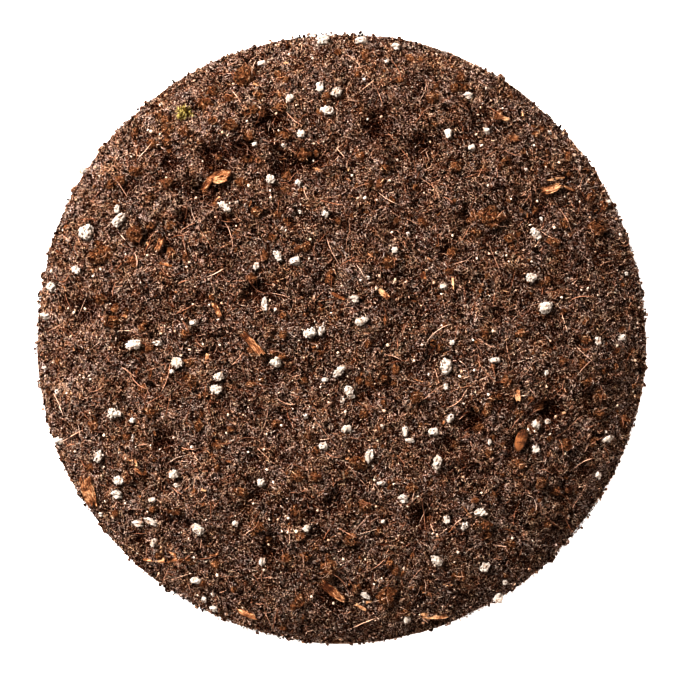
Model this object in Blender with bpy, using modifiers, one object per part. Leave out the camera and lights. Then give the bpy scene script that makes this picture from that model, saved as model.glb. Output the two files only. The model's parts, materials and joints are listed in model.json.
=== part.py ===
"""A round, shallow spread of potting compost, with the larger pieces that lie in its top.

Fine peat makes one crumbly bed with a flat underside. Perlite granules, bark nuggets, wood chips,
roots, a seed husk and a tuft of moss each lie in a close pocket of their own in the bed's top.
Z is up, and the origin is the middle of the underside.
"""

import math

import bmesh
import bpy
from mathutils import Matrix, Vector, noise
from mathutils.bvhtree import BVHTree

MM = 0.001

# The bed.
BED_RADIUS = 93.0 * MM
BED_DEPTH = 18.0 * MM
RIM_POWER = 6  # the higher, the flatter the top and the steeper the rim
BED_RINGS = 13
BED_STEPS = 72
UNDERSIDE_RINGS = (0.66, 0.33, 0.0)  # shares of the radius
OUTLINE_WAVE = 1.8 * MM  # how far the outline wanders in and out
OUTLINE_LOBES = 2.3
RELIEF = 1.8 * MM  # how far the top rises and falls
RELIEF_SPAN = 19.0 * MM
RELIEF_FADE = 7.0 * MM  # below this height the relief dies away

# Every piece in the top keeps this gap to the walls of its pocket.
CLEARANCE = 0.4 * MM
DROP_HEIGHT = 50.0 * MM  # pieces are dropped onto the bed from here

# How each kind of lump lies: height as a share of width, share that is sunk, and how knobbly.
PERLITE_STYLE = (0.85, 0.4, 0.35)
BARK_STYLE = (0.6, 0.55, 0.4)
HUSK_STYLE = (0.75, 0.5, 0.08)
MOSS_STYLE = (0.6, 0.5, 0.5)
LOBE_DEPTH = 0.16
KNOB_PITCH = 1.7

# Each lump: x, y, length and width in millimetres, turn in degrees, and lobes seen from above.
PERLITE = [
    (-75.0, 31.5, 5.0, 4.6, 60, 3),
    (-65.0, 34.8, 5.2, 3.0, 50, 2),
    (-77.7, 20.2, 3.2, 2.6, -20, 0),
    (-85.8, 15.2, 3.4, 3.0, 120, 0),
    (-4.0, 66.4, 4.4, 2.6, -15, 2),
    (-1.2, 72.0, 3.0, 3.0, 0, 0),
    (-20.3, 46.2, 3.0, 2.4, -60, 0),
    (-33.6, 38.1, 4.4, 2.2, -42, 2),
    (-18.3, 23.8, 3.8, 2.2, -62, 0),
    (-9.0, 1.5, 4.2, 2.8, 20, 2),
    (6.0, 5.0, 4.6, 2.4, 18, 2),
    (-60.3, -1.8, 5.0, 3.0, 12, 2),
    (-47.6, -7.0, 3.9, 3.0, -20, 0),
    (-35.3, -11.2, 2.9, 2.7, 0, 0),
    (-36.2, -14.8, 4.0, 2.6, -5, 0),
    (-18.8, -7.0, 3.8, 3.0, -55, 3),
    (-0.6, -9.6, 4.8, 2.4, 45, 2),
    (2.6, -15.6, 4.4, 2.4, -65, 2),
    (-66.0, -22.0, 4.2, 3.0, -10, 3),
    (-71.2, -34.8, 4.0, 2.8, 65, 0),
    (-65.0, -41.6, 3.3, 2.8, 0, 0),
    (-48.7, -39.6, 3.0, 2.7, 30, 0),
    (-23.3, -42.0, 2.7, 2.5, -50, 0),
    (-41.5, -55.6, 4.0, 3.0, -55, 2),
    (30.6, -8.4, 5.2, 3.4, 95, 2),
    (59.6, 9.0, 4.4, 3.6, 30, 3),
    (55.3, 17.6, 3.1, 3.0, 0, 0),
    (56.6, 30.6, 4.0, 2.6, -55, 0),
    (40.7, -50.7, 4.2, 2.4, -5, 2),
    (27.8, -36.2, 4.6, 2.6, 75, 0),
    (28.0, -65.0, 4.0, 2.6, -45, 2),
    (42.2, -67.2, 3.8, 2.4, 42, 2),
]
BARK = [
    (-70.0, 24.6, 9.0, 5.0, 25, 0),
    (-60.2, 30.4, 6.2, 5.2, 70, 0),
    (-67.0, 5.0, 5.6, 4.4, 0, 0),
    (-43.6, -12.2, 6.2, 3.4, -50, 0),
    (22.0, -17.0, 4.4, 4.0, 15, 3),
    (58.4, -42.4, 3.8, 3.2, 60, 0),
    (-24.0, -55.0, 6.0, 3.2, -5, 0),
    (13.5, -75.5, 7.0, 5.4, 30, 0),
    (-28.5, 77.0, 7.4, 6.4, 80, 0),
]
SEED_HUSK = (52.4, -29.6, 7.0, 3.8, 72, 0)
MOSS = (-46.0, 66.4, 4.4, 4.0, 0, 3)

# Each splinter: x, y, length and width in millimetres, and turn in degrees.
WOOD_CHIPS = [
    (61.3, 44.0, 7.0, 2.2, 12),
    (-74.5, -45.5, 9.5, 3.4, -78),
    (-36.0, 46.0, 8.6, 1.6, 28),
    (-53.0, 27.4, 4.8, 1.8, 62),
    (-25.4, -1.6, 9.0, 1.9, -48),
    (-36.0, 8.3, 5.0, 1.2, -62),
    (12.5, 12.8, 3.8, 1.5, -42),
    (-2.5, -73.8, 9.4, 2.0, -40),
]
CHIP_THICKNESS = 1.1 * MM
CHIP_BANDS = 5
CHIP_TAPER = 0.5
CHIP_TWIST = 0.25
CHIP_RAGGED = 0.25
CHIP_BEARING = 0.8  # the share of a chip's length between the places where it bears on the bed

# Each root: its thickness, then the places it passes, all in millimetres.
ROOTS = [
    (0.5, [(-10.0, 40.2), (-7.0, 39.3), (-3.8, 40.6), (0.0, 41.6)]),
    (0.5, [(2.3, 34.2), (2.6, 31.2), (1.7, 28.6), (1.6, 26.0)]),
    (0.7, [(-31.8, -7.8), (-29.8, -6.2), (-28.4, -4.4), (-26.6, -5.4)]),
    (0.7, [(-36.8, -20.4), (-34.6, -21.4), (-33.0, -23.6), (-30.4, -25.2)]),
    (0.6, [(-8.0, -23.0), (-5.8, -25.6), (-3.6, -28.6), (-1.0, -31.6)]),
    (0.5, [(40.0, -10.2), (45.0, -10.8), (51.0, -10.0), (55.0, -10.8), (58.4, -12.8)]),
    (0.5, [(62.0, -29.0), (65.2, -27.4), (68.4, -24.4), (71.0, -22.4)]),
    (0.6, [(-22.6, -78.6), (-22.2, -81.2), (-21.0, -84.0), (-20.2, -86.4)]),
]
ROOT_STEP = 1.0 * MM
ROOT_TAPER = 0.3


def clear_scene():
    for thing in list(bpy.data.objects):
        bpy.data.objects.remove(thing)


def new_collection(name):
    collection = bpy.data.collections.new(name)
    bpy.context.scene.collection.children.link(collection)
    return collection


def new_material(name, colour, roughness):
    material = bpy.data.materials.new(name)
    material.use_nodes = True
    shader = material.node_tree.nodes["Principled BSDF"]
    shader.inputs["Base Color"].default_value = (*colour, 1.0)
    shader.inputs["Roughness"].default_value = roughness
    shader.inputs["Metallic"].default_value = 0.0
    material.diffuse_color = (*colour, 1.0)
    return material


def add_object(name, data, collection, material=None):
    thing = bpy.data.objects.new(name, data)
    collection.objects.link(thing)
    if material:
        data.materials.append(material)
    return thing


def add_cutter(name, mesh, collection, place=Matrix()):
    cutter = add_object(name, mesh, collection)
    cutter.matrix_world = place
    cutter.hide_render = True
    cutter.display_type = "WIRE"
    return cutter


def mesh_of(thing):
    """The object's evaluated shape as a new mesh, with its caps and seams welded."""
    graph = bpy.context.evaluated_depsgraph_get()
    mesh = bpy.data.meshes.new_from_object(thing.evaluated_get(graph))
    shape = bmesh.new()
    shape.from_mesh(mesh)
    bmesh.ops.remove_doubles(shape, verts=shape.verts, dist=0.005 * MM)
    shape.to_mesh(mesh)
    shape.free()
    return mesh


# ---- the bed of fine peat ----


def bed_height(radius):
    return BED_DEPTH * (1 - (radius / BED_RADIUS) ** RIM_POWER)


def weathered(point):
    """A point of the turned form, moved by the wander of the outline and the relief of the top."""
    radius = math.hypot(point.x, point.y)
    if radius == 0:
        return point
    around = Vector((point.x, point.y, 0)) / radius
    share = radius / BED_RADIUS
    outward = OUTLINE_WAVE * share**4 * noise.noise(around * OUTLINE_LOBES)
    fade = min(1.0, point.z / RELIEF_FADE)
    lift = RELIEF * fade * noise.noise(Vector((point.x, point.y, 0)) / RELIEF_SPAN)
    return point + around * outward + Vector((0, 0, lift))


def make_bed(collection, material):
    profile = bpy.data.meshes.new("bed_profile")
    radii = [BED_RADIUS * math.sin(math.pi / 2 * ring / BED_RINGS) for ring in range(BED_RINGS + 1)]
    top = [(radius, 0, bed_height(radius)) for radius in radii]
    under = [(BED_RADIUS * share, 0, 0) for share in UNDERSIDE_RINGS]
    points = top + under
    profile.from_pydata(points, [(i, i + 1) for i in range(len(points) - 1)], [])
    turned = add_object("bed_form", profile, collection)
    screw = turned.modifiers.new("turn", "SCREW")
    screw.axis = "Z"
    screw.angle = math.tau
    screw.steps = BED_STEPS
    screw.render_steps = BED_STEPS
    screw.use_merge_vertices = True
    screw.merge_threshold = 0.01 * MM
    mesh = mesh_of(turned)
    bpy.data.objects.remove(turned)
    for vertex in mesh.vertices:
        vertex.co = weathered(vertex.co)
    mesh.name = "compost_bed"
    return add_object("compost_bed", mesh, collection, material)


def surface_of(bed):
    """A function that gives the height of the bed's top at a place."""
    tree = BVHTree.FromPolygons(
        [vertex.co for vertex in bed.data.vertices],
        [polygon.vertices for polygon in bed.data.polygons],
    )

    def height_at(x, y):
        return tree.ray_cast(Vector((x, y, DROP_HEIGHT)), Vector((0, 0, -1)))[0].z

    return height_at


# ---- lumps: perlite, bark, husk and moss ----


def lump_mesh(name, size, lobes, knobbliness, seed):
    """A ball pinched into lobes seen from above, with a knobbly skin, stretched to its size."""
    shape = bmesh.new()
    bmesh.ops.create_icosphere(shape, subdivisions=2, radius=1.0)
    drift = Vector((seed * 3.7, seed * 1.9, seed * 5.3))
    for vertex in shape.verts:
        heading = vertex.co.normalized()
        angle = math.atan2(heading.y, heading.x)
        level = math.hypot(heading.x, heading.y)
        pinch = LOBE_DEPTH * level * math.cos(lobes * angle) if lobes else 0.0
        knob = knobbliness * noise.noise(heading * KNOB_PITCH + drift)
        vertex.co = heading * (1 + pinch + knob)
    for axis, full in enumerate(size):
        low = min(vertex.co[axis] for vertex in shape.verts)
        high = max(vertex.co[axis] for vertex in shape.verts)
        for vertex in shape.verts:
            vertex.co[axis] = ((vertex.co[axis] - low) / (high - low) - 0.5) * full
    mesh = bpy.data.meshes.new(name)
    shape.to_mesh(mesh)
    shape.free()
    mesh.shade_smooth()
    return mesh


def add_lump(name, row, style, material, height_at, parts, cutters, seed):
    """A lump lying in the top of the bed, and the cutter that makes its pocket."""
    x, y, length, width, turn, lobes = row
    flatness, sunk, knobbliness = style
    size = Vector((length, width, width * flatness)) * MM
    z = height_at(x * MM, y * MM) + size.z * (0.5 - sunk)
    place = Matrix.Translation((x * MM, y * MM, z)) @ Matrix.Rotation(math.radians(turn), 4, "Z")
    lump = lump_mesh(name, size, lobes, knobbliness, seed)
    add_object(name, lump, parts, material).matrix_world = place
    room = size + Vector((1, 1, 1)) * 2 * CLEARANCE
    pocket = lump_mesh(name + "_pocket", room, lobes, knobbliness, seed)
    add_cutter(name + "_pocket", pocket, cutters, place)


# ---- wood chips ----


def splinter_mesh(name, size, seed):
    """A flat stick, split along its grain: tapering, a little twisted, with torn ends."""
    shape = bmesh.new()
    bmesh.ops.create_cube(shape, size=1.0)
    lengthways = [e for e in shape.edges if abs(e.verts[0].co.x - e.verts[1].co.x) > 0.5]
    bmesh.ops.subdivide_edges(shape, edges=lengthways, cuts=CHIP_BANDS - 1, use_grid_fill=True)
    for vertex in shape.verts:
        along = 2 * vertex.co.x
        full = 1 - CHIP_TAPER * abs(along) ** 3
        ragged = CHIP_RAGGED * noise.noise(Vector((along * 2, vertex.co.y * 3, seed * 4.4)))
        twist = CHIP_TWIST * (along + noise.noise(Vector((along, seed * 2.2, 0))))
        side = vertex.co.y * size.y * full * (1 + ragged)
        rise = vertex.co.z * size.z * (0.6 + 0.4 * full)
        vertex.co.x = size.x * (vertex.co.x + 0.3 * ragged * abs(along))
        vertex.co.y = side * math.cos(twist) - rise * math.sin(twist)
        vertex.co.z = side * math.sin(twist) + rise * math.cos(twist)
    mesh = bpy.data.meshes.new(name)
    shape.to_mesh(mesh)
    shape.free()
    return mesh


def add_chip(name, row, material, height_at, parts, cutters, seed):
    """A wood chip lying along the slope of the bed, and the cutter that makes its pocket."""
    x, y, length, width, turn = row
    middle = Vector((x, y, 0)) * MM
    size = Vector((length * MM, width * MM, CHIP_THICKNESS))
    heading = Matrix.Rotation(math.radians(turn), 3, "Z") @ Vector((1, 0, 0))
    bearing = CHIP_BEARING * size.x
    places = [middle + heading * bearing * share for share in (-0.5, 0.5)]
    start, end = (height_at(place.x, place.y) for place in places)
    middle.z = (start + end) / 2 + 0.15 * CHIP_THICKNESS
    place = (
        Matrix.Translation(middle)
        @ Matrix.Rotation(math.radians(turn), 4, "Z")
        @ Matrix.Rotation(-math.atan2(end - start, bearing), 4, "Y")
    )
    add_object(name, splinter_mesh(name, size, seed), parts, material).matrix_world = place
    room = size + Vector((2, 2, 3)) * CLEARANCE
    add_cutter(name + "_pocket", splinter_mesh(name + "_pocket", room, seed), cutters, place)


# ---- roots ----


def between(points, share):
    """A point of the smooth curve through these points, at a share of the way along their list."""
    spans = len(points) - 1
    at = min(int(share * spans), spans - 1)
    t = share * spans - at
    p0, p1, p2, p3 = (points[max(0, min(spans, at + step))] for step in (-1, 0, 1, 2))
    return 0.5 * (
        2 * p1
        + (p2 - p0) * t
        + (2 * p0 - 5 * p1 + 4 * p2 - p3) * t**2
        + (3 * p1 - p0 - 3 * p2 + p3) * t**3
    )


def tube(name, path, diameter):
    """A round tube along the path, thinning towards both ends."""
    data = bpy.data.curves.new(name, "CURVE")
    data.dimensions = "3D"
    data.bevel_depth = diameter / 2
    data.bevel_resolution = 2
    data.use_fill_caps = True
    spline = data.splines.new("POLY")
    spline.points.add(len(path) - 1)
    for step, point in enumerate(path):
        along = 2 * step / (len(path) - 1) - 1
        spline.points[step].co = (*point, 1)
        spline.points[step].radius = 1 - ROOT_TAPER * along**4
    return data


def add_root(name, row, material, height_at, parts, cutters):
    """A root lying on the bed, half sunk, and the cutter that makes its groove."""
    diameter, places = row[0] * MM, [Vector((x, y, 0)) * MM for x, y in row[1]]
    length = sum((b - a).length for a, b in zip(places, places[1:]))
    count = round(length / ROOT_STEP)
    path = [between(places, step / count) for step in range(count + 1)]
    for point in path:
        point.z = height_at(point.x, point.y) + 0.1 * diameter
    add_object(name, tube(name, path, diameter), parts, material)
    before = path[0] + (path[0] - path[1]) * 0.6
    after = path[-1] + (path[-1] - path[-2]) * 0.6
    groove = tube(name + "_groove", [before, *path, after], diameter + 2 * CLEARANCE)
    guide = add_object(name + "_groove", groove, cutters)
    add_cutter(name + "_pocket", mesh_of(guide), cutters)
    bpy.data.objects.remove(guide)


# ---- assembly ----


def main():
    clear_scene()
    parts = new_collection("compost_spread")
    cutters = new_collection("pockets")
    cutters.hide_render = True
    peat = new_material("peat", (0.055, 0.026, 0.014), 0.95)
    perlite = new_material("perlite", (0.85, 0.82, 0.76), 0.9)
    bark = new_material("bark", (0.22, 0.085, 0.03), 0.85)
    husk = new_material("husk", (0.16, 0.07, 0.03), 0.5)
    wood = new_material("wood", (0.52, 0.27, 0.11), 0.75)
    root = new_material("root", (0.40, 0.22, 0.13), 0.7)
    moss = new_material("moss", (0.35, 0.30, 0.07), 0.95)

    bed = make_bed(parts, peat)
    height_at = surface_of(bed)
    lumps = [(f"perlite_{i:02d}", row, PERLITE_STYLE, perlite) for i, row in enumerate(PERLITE, 1)]
    lumps += [(f"bark_{i:02d}", row, BARK_STYLE, bark) for i, row in enumerate(BARK, 1)]
    lumps += [("seed_husk", SEED_HUSK, HUSK_STYLE, husk), ("moss_tuft", MOSS, MOSS_STYLE, moss)]
    for seed, (name, row, style, material) in enumerate(lumps):
        add_lump(name, row, style, material, height_at, parts, cutters, seed)
    for number, row in enumerate(WOOD_CHIPS, 1):
        add_chip(f"wood_chip_{number:02d}", row, wood, height_at, parts, cutters, number)
    for number, row in enumerate(ROOTS, 1):
        add_root(f"root_{number:02d}", row, root, height_at, parts, cutters)

    pockets = bed.modifiers.new("pockets", "BOOLEAN")
    pockets.operation = "DIFFERENCE"
    pockets.operand_type = "COLLECTION"
    pockets.collection = cutters
    pockets.solver = "EXACT"


main()
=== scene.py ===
# %% [markdown]
# # A spread of potting compost
#
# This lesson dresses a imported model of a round, shallow spread of potting compost, about 186 mm
# across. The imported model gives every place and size: one bed of peat with a flat underside, and
# 59 larger pieces that lie in pockets of its top. The real stuff is thousands of damp brown crumbs,
# tangled with fine fibres, with popped white perlite granules, bark nuggets and splinters among
# them. So the work is mostly scattering: each kind of grain is modelled once or a few times, and
# copied with its own size, turn and tone.

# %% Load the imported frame
import json
import math

import bpy
import numpy as np
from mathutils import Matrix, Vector, noise
from mathutils.bvhtree import BVHTree

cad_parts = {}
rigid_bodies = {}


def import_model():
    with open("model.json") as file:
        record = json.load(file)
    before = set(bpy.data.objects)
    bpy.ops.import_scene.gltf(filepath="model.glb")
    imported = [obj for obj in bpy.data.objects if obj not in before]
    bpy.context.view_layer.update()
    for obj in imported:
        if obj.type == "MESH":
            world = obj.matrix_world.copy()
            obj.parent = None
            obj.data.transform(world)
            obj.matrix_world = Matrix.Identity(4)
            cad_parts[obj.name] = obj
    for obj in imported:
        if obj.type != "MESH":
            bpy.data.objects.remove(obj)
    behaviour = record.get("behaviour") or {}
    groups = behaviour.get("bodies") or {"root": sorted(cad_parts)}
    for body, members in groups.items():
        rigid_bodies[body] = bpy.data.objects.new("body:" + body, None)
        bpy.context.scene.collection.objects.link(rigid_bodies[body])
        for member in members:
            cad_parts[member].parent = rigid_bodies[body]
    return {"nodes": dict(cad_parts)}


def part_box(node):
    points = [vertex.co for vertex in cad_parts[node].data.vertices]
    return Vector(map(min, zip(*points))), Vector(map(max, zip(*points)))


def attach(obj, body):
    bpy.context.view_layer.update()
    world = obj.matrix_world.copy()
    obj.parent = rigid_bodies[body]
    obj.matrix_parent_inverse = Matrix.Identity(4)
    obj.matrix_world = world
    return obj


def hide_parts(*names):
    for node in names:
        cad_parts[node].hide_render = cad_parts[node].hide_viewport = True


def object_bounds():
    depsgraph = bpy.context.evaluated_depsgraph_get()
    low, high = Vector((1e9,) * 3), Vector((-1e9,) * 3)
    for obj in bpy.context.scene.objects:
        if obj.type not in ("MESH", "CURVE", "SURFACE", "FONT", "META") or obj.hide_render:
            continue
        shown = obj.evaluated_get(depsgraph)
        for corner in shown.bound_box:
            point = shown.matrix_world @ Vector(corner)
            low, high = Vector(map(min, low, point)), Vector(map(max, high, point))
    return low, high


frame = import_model()
cad_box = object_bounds()
nodes = frame["nodes"]
MM = 0.001
random = np.random.default_rng(20)
chance = random.random  # numbers from 0 to 1
columns = np.column_stack
low, high = (np.array(corner) for corner in cad_box)
top_limit = high[2] - 0.02 * MM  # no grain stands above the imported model's box
print("nodes", len(nodes), "box in mm", np.round(low / MM, 1), np.round(high / MM, 1))

# %% [markdown]
# ## The camera
#
# The camera hangs straight above and looks down, so +X is right in the picture and +Y is up. A long
# lens from further off would flatten the view, and a short one would show the rim's far sides. A
# 100 mm lens at about half a metre does neither.

# %% Hang the camera
VIEW_WIDTH = 197.4 * MM
LENS = 100.0
SENSOR = 36.0
VIEW_CENTRE = (-0.4 * MM, -0.5 * MM)

camera_height = VIEW_WIDTH * LENS / SENSOR + high[2] - 2 * MM
bpy.ops.object.camera_add(location=(*VIEW_CENTRE, camera_height), rotation=(0, 0, 0))
camera = bpy.context.object
camera.data.lens = LENS
camera.data.sensor_width = SENSOR
camera.data.clip_start = 0.01
bpy.context.scene.camera = camera
print("camera height in mm", round(camera_height / MM))

# %% [markdown]
# ## A few tools of the trade
#
# Blender's operators work on what is selected, so each step starts by selecting just one object.
# The grains are counted in thousands, and numpy places them all at once, which is far quicker than
# adding objects one by one. A grain's colour is a place on a tone map: across it from dark to pale,
# and up it from brown to orange or pink. The map is the piece's UV map, so the finish reads one
# picture however many grains there are.


# %% Select, convert and apply
def only(thing):
    """Leave just this object selected, and active."""
    for other in bpy.context.selected_objects:
        other.select_set(False)
    thing.select_set(True)
    bpy.context.view_layer.objects.active = thing
    return thing


def subdivide(thing, levels=2):
    """Round the object off."""
    smooth = thing.modifiers.new("smooth", "SUBSURF")
    smooth.levels = smooth.render_levels = levels


def shade_smooth(thing):
    only(thing)
    bpy.ops.object.shade_smooth()
    return thing


def to_mode(mode):
    bpy.ops.object.mode_set(mode=mode)


def select_all(action):
    bpy.ops.mesh.select_all(action=action)


def apply_all(thing):
    """Apply each modifier in turn."""
    only(thing)
    for modifier in list(thing.modifiers):
        bpy.ops.object.modifier_apply(modifier=modifier.name)
    return thing


def copy_of(node, name):
    """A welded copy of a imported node, to be worked on."""
    copy = nodes[node].copy()
    copy.data = nodes[node].data.copy()
    for key in list(copy.keys()):
        del copy[key]
    copy.parent = None
    copy.name = name
    bpy.context.scene.collection.objects.link(copy)
    only(copy)
    to_mode("EDIT")
    select_all("SELECT")
    bpy.ops.mesh.remove_doubles(threshold=0.002 * MM)
    to_mode("OBJECT")
    copy.data.materials.clear()
    return copy


def pattern(kind, size, **settings):
    """A procedural texture that displaces a surface."""
    texture = bpy.data.textures.new(f"{kind.lower()}_{size / MM:.2f}", kind)
    texture.noise_scale = size
    for key, value in settings.items():
        setattr(texture, key, value)
    return texture


def displace(thing, texture, strength, middle=0.5, direction="NORMAL"):
    modifier = thing.modifiers.new("relief", "DISPLACE")
    modifier.texture = texture
    modifier.texture_coords = "LOCAL"
    modifier.strength = strength
    modifier.mid_level = middle
    modifier.direction = direction
    return modifier


def keep_inside(thing):
    """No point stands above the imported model's box, or below the ground."""
    for vertex in thing.data.vertices:
        vertex.co.z = min(max(vertex.co.z, 0.02 * MM), top_limit)
    return thing


def finish_piece(thing, material, slot, *replaced):
    """Give the piece its finish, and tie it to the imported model."""
    if replaced and thing.name != "peat_bed":
        keep_inside(thing)
    thing.data.materials.clear()
    thing.data.materials.append(material)
    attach(thing, "root")
    if replaced:
        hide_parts(*replaced)
    return thing


# %% Meshes from arrays, and random turns
def mesh_from(name, points, triangles, uv=None):
    """A new object from arrays of points and triangles, with the tone map's places if given."""
    points = np.array(points, np.float32)
    points[:, 2] = np.clip(points[:, 2], 0.02 * MM, top_limit)
    mesh = bpy.data.meshes.new(name)
    mesh.vertices.add(len(points))
    mesh.vertices.foreach_set("co", points.ravel())
    mesh.loops.add(3 * len(triangles))
    mesh.loops.foreach_set("vertex_index", np.asarray(triangles, np.int32).ravel())
    mesh.polygons.add(len(triangles))
    mesh.polygons.foreach_set("loop_start", np.arange(0, 3 * len(triangles), 3, dtype=np.int32))
    mesh.update(calc_edges=True)
    if uv is not None:
        layer = mesh.uv_layers.new(name="OFBake")
        layer.data.foreach_set("uv", np.asarray(uv, np.float32)[np.ravel(triangles)].ravel())
    thing = bpy.data.objects.new(name, mesh)
    bpy.context.scene.collection.objects.link(thing)
    return thing


def random_turns(count):
    """Rotation matrices that turn a grain any way at all."""
    q = random.normal(size=(count, 4))
    w, x, y, z = (q / np.linalg.norm(q, axis=1)[:, None]).T
    rows = [
        [1 - 2 * (y * y + z * z), 2 * (x * y - z * w), 2 * (x * z + y * w)],
        [2 * (x * y + z * w), 1 - 2 * (x * x + z * z), 2 * (y * z - x * w)],
        [2 * (x * z - y * w), 2 * (y * z + x * w), 1 - 2 * (x * x + y * y)],
    ]
    return np.moveaxis(np.array(rows), 2, 0)


def flat_turns(angles):
    """Rotation matrices that turn a grain about the upright axis."""
    c, s, o, one = np.cos(angles), np.sin(angles), np.zeros(len(angles)), np.ones(len(angles))
    return np.moveaxis(np.array([[c, -s, o], [s, c, o], [o, o, one]]), 2, 0)


def points_of(thing):
    """The places of an object's points, as an array."""
    points = np.empty(3 * len(thing.data.vertices), np.float32)
    thing.data.vertices.foreach_get("co", points)
    return points.reshape(-1, 3).astype(float)


def move_points(thing, points):
    """Put an object's points at these places."""
    thing.data.vertices.foreach_set("co", points.astype(np.float32).ravel())
    thing.data.update()


def shape_of(thing):
    """The points and triangles of an object, as arrays."""
    thing.data.calc_loop_triangles()
    triangles = np.empty(3 * len(thing.data.loop_triangles), np.int32)
    thing.data.loop_triangles.foreach_get("vertices", triangles)
    return points_of(thing), triangles.reshape(-1, 3)


def new_map(thing, name, places):
    """Give the piece one UV map, from a place for each of its points."""
    loops = np.empty(len(thing.data.loops), np.int32)
    thing.data.loops.foreach_get("vertex_index", loops)
    while thing.data.uv_layers:
        thing.data.uv_layers.remove(thing.data.uv_layers[0])
    layer = thing.data.uv_layers.new(name=name)
    layer.data.foreach_set("uv", places[loops, :2].astype(np.float32).ravel())
    return thing


TONE_TILE = 0.03  # how much of the tone map one grain covers


def copies(name, shapes, places, sizes, turns, tones=None):
    """Copies of these shapes, each with its place, size, turn and tone if any, as one object."""
    which = random.integers(len(shapes), size=len(places))
    points, triangles, uv, start = [], [], [], 0
    for number, (own_points, own_triangles) in enumerate(shapes):
        mine = which == number
        count = int(mine.sum())
        stretched = own_points[None] * sizes[mine][:, None, :]
        turned = np.einsum("nij,nvj->nvi", turns[mine], stretched) + places[mine][:, None, :]
        steps = start + len(own_points) * np.arange(count)
        points.append(turned.reshape(-1, 3))
        triangles.append((own_triangles[None] + steps[:, None, None]).reshape(-1, 3))
        if tones is not None:
            tile = TONE_TILE * own_points[None, :, :2] + tones[mine][:, None, :]
            uv.append(tile.reshape(-1, 2))
        start += count * len(own_points)
    uv = np.concatenate(uv) if uv else None
    return mesh_from(name, np.concatenate(points), np.concatenate(triangles), uv)


# %% [markdown]
# ## The finishes
#
# Each finish is built from nodes. A small helper adds a node and links its inputs, so a recipe
# reads from top to bottom. Noise in object coordinates stays put on the surface. The scales are in
# features per metre: 1000 is a feature every millimetre.


# %% Helpers for nodes
class Recipe:
    """A material under construction."""

    def __init__(self, name, roughness, shine=0.2):
        self.material = bpy.data.materials.new(name)
        self.material.use_nodes = True
        self.nodes = self.material.node_tree.nodes
        self.links = self.material.node_tree.links
        self.shader = self.nodes["Principled BSDF"]
        self.shader.inputs["Roughness"].default_value = roughness
        self.shader.inputs["Specular IOR Level"].default_value = shine
        self.place = self.nodes.new("ShaderNodeTexCoord").outputs["Object"]

    def add(self, kind, inputs, **settings):
        node = self.nodes.new(kind)
        for key, value in settings.items():
            setattr(node, key, value)
        for key, value in inputs.items():
            if isinstance(value, bpy.types.NodeSocket):
                self.links.new(value, node.inputs[key])
            else:
                node.inputs[key].default_value = value
        return node

    def noise(self, scale, detail=4.0, rough=0.6, place=None):
        inputs = {"Vector": place or self.place, "Scale": scale, "Detail": detail, "Roughness": rough}
        return self.add("ShaderNodeTexNoise", inputs).outputs["Fac"]

    def cells(self, scale):
        return self.add("ShaderNodeTexVoronoi", {"Vector": self.place, "Scale": scale}).outputs["Distance"]

    def ramp(self, value, *stops):
        node = self.add("ShaderNodeValToRGB", {"Fac": value})
        elements = node.color_ramp.elements
        while len(elements) < len(stops):
            elements.new(0.5)
        for element, (at, colour) in zip(elements, stops):
            element.position = at
            element.color = (*colour, 1.0)
        return node.outputs["Color"]

    def mix(self, share, first, second, blend="MIX"):
        node = self.add("ShaderNodeMix", {0: share, 6: first, 7: second}, data_type="RGBA")
        node.blend_type = blend
        return node.outputs[2]

    def maths(self, operation, first, second):
        return self.add("ShaderNodeMath", {0: first, 1: second}, operation=operation).outputs[0]

    def times(self, first, second):
        return self.maths("MULTIPLY", first, second)

    def plus(self, first, second):
        return self.maths("ADD", first, second)

    def less(self, first, second):
        return self.maths("SUBTRACT", first, second)

    def bump(self, height, depth):
        inputs = {"Height": height, "Distance": depth}
        self.links.new(self.add("ShaderNodeBump", inputs).outputs[0], self.shader.inputs["Normal"])

    def colour(self, socket):
        self.links.new(socket, self.shader.inputs["Base Color"])
        return self.material


def tint(red, green, blue):
    """A colour given on the usual 0 to 255 scale, as the shader wants it."""
    shares = [channel / 255 for channel in (red, green, blue)]
    return tuple(s / 12.92 if s <= 0.04045 else ((s + 0.055) / 1.055) ** 2.4 for s in shares)


# %% Peat, for the bed, the crumbs and the fibres
PEAT_TONES = [
    (0.0, tint(12, 0, 0)),
    (0.3, tint(46, 10, 0)),
    (0.5, tint(106, 59, 32)),
    (0.7, tint(168, 134, 118)),
    (1.0, tint(252, 238, 230)),
]
RUST = (1.0, 0.77, 0.48, 1.0)
BLACK, WHITE = (0.0,) * 3, (1.0,) * 3
FIBRE_TONES = [
    (0.0, tint(58, 28, 16)),
    (0.4, tint(124, 80, 56)),
    (0.7, tint(184, 142, 118)),
    (1.0, tint(240, 216, 198)),
]


def speckle_of(recipe, strength):
    """Fine specks, as a tone to add: mostly a little darker, and here and there much paler."""
    fine = recipe.less(recipe.noise(2300, 5, 0.8), 0.48)
    return recipe.times(fine, strength)


def peat_bed():
    """Peat in the mass, with painted shade: darker in its hollows and paler where it stands up."""
    recipe = Recipe("peat_bed", 0.95, 0.0)
    broad = recipe.less(recipe.noise(110, 3), 0.5)
    relief_shade = recipe.add("ShaderNodeAttribute", {}, attribute_name="relief_shade").outputs["Fac"]
    # Painted shade and light: the tone falls in the hollows and rises on what stands up.
    height = recipe.times(recipe.less(relief_shade, 0.55), 0.6)
    tone = recipe.plus(recipe.times(broad, 0.4), height)
    tone = recipe.plus(recipe.plus(tone, 0.42), speckle_of(recipe, 5.0))
    recipe.bump(recipe.noise(2300, 6, 0.85), 1.2 * MM)
    rust = recipe.ramp(recipe.noise(190, 3), (0.42, BLACK), (0.6, (0.8,) * 3))
    return recipe.colour(recipe.mix(rust, recipe.ramp(tone, *PEAT_TONES), RUST, "MULTIPLY"))


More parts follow.
